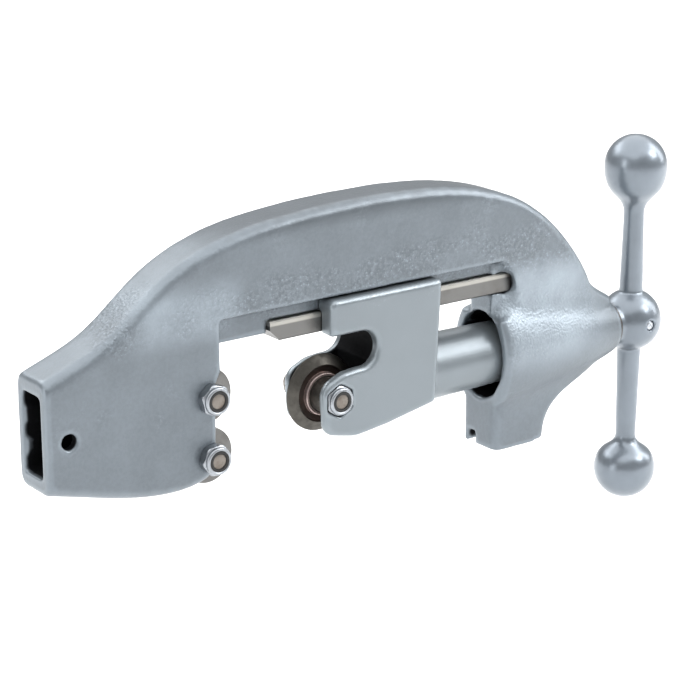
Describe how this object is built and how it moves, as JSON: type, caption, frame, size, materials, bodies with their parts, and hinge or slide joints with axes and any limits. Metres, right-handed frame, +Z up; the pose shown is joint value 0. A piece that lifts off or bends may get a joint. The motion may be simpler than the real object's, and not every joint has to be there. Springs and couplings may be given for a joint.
{
  "type": "pipe cutter",
  "caption": "Screw-feed pipe cutter: arched casting with a socket mount, guide rail, sliding cutter wheel housing, back-up rollers and a ball-ended tee handle.",
  "frame": {"origin": "middle of the rectangular socket's mouth in the left leg", "axes": "+X from the socket along the feed screw towards the handle, +Z up from the throat to the arch, +Y from the nut side to the bolt-head side"},
  "size_m": [0.3428, 0.0401, 0.1826],
  "materials": {
    "cast_frame": "silver-grey paint over a sand casting, slightly pebbled",
    "cast_slide": "smoother silver-grey paint with bright worn edges",
    "ground_steel": "bare machined steel, slightly warm",
    "roller_steel": "hardened ground steel",
    "wheel_steel": "dark brown oiled tool steel, bright edge",
    "bolt_steel": "oiled brownish steel",
    "zinc_nut": "bright zinc plating",
    "black_nylon": "black nylon",
    "screw_steel": "oiled steel",
    "handle_steel": "glossy silver-grey finish on a smooth forging",
    "bronze": "plain bronze"
  },
  "bodies": {
    "frame_body": {"frame": "cast_frame", "guide_rail": "ground_steel", "left_rail_screw": "screw_steel", "middle_rail_screw": "screw_steel", "right_rail_screw": "screw_steel", "upper_roller_bolt": "bolt_steel", "lower_roller_bolt": "bolt_steel", "upper_roller_nut": "zinc_nut", "lower_roller_nut": "zinc_nut", "upper_nut_insert": "black_nylon", "lower_nut_insert": "black_nylon", "inner_thrust_washer": "bronze", "outer_thrust_washer": "bronze"},
    "upper_roller_body": {"upper_roller": "roller_steel"},
    "lower_roller_body": {"lower_roller": "roller_steel"},
    "slide_body": {"slide_housing": "cast_slide", "wheel_bush": "ground_steel", "wheel_bolt": "bolt_steel", "wheel_nut": "zinc_nut", "wheel_nut_insert": "black_nylon"},
    "wheel_body": {"cutter_wheel": "wheel_steel"},
    "screw_body": {"feed_screw": "screw_steel", "handle": "handle_steel", "handle_spring_pin": "zinc_nut"}
  },
  "joints": [
    {"name": "feed_screw_turn", "type": "hinge", "parent": "frame_body", "child": "screw_body", "pos_m": [0.3276, 0, -0.01], "axis": [1, 0, 0], "range_deg": [-2376, 1980]},
    {"name": "slide_travel", "type": "slide", "parent": "frame_body", "child": "slide_body", "axis": [1, 0, 0], "range_m": [-0.0331, 0.0276]},
    {"name": "cutter_wheel_spin", "type": "hinge", "parent": "slide_body", "child": "wheel_body", "pos_m": [0.142, 0, -0.01], "axis": [0, 1, 0], "continuous": true},
    {"name": "upper_roller_spin", "type": "hinge", "parent": "frame_body", "child": "upper_roller_body", "pos_m": [0.078, 0, 0.00325], "axis": [0, 1, 0], "continuous": true},
    {"name": "lower_roller_spin", "type": "hinge", "parent": "frame_body", "child": "lower_roller_body", "pos_m": [0.078, 0, -0.02325], "axis": [0, 1, 0], "continuous": true}
  ],
  "couplings": [
    {"joint": "slide_travel", "follows": "feed_screw_turn", "m_per_rad": 0.00079577}
  ]
}
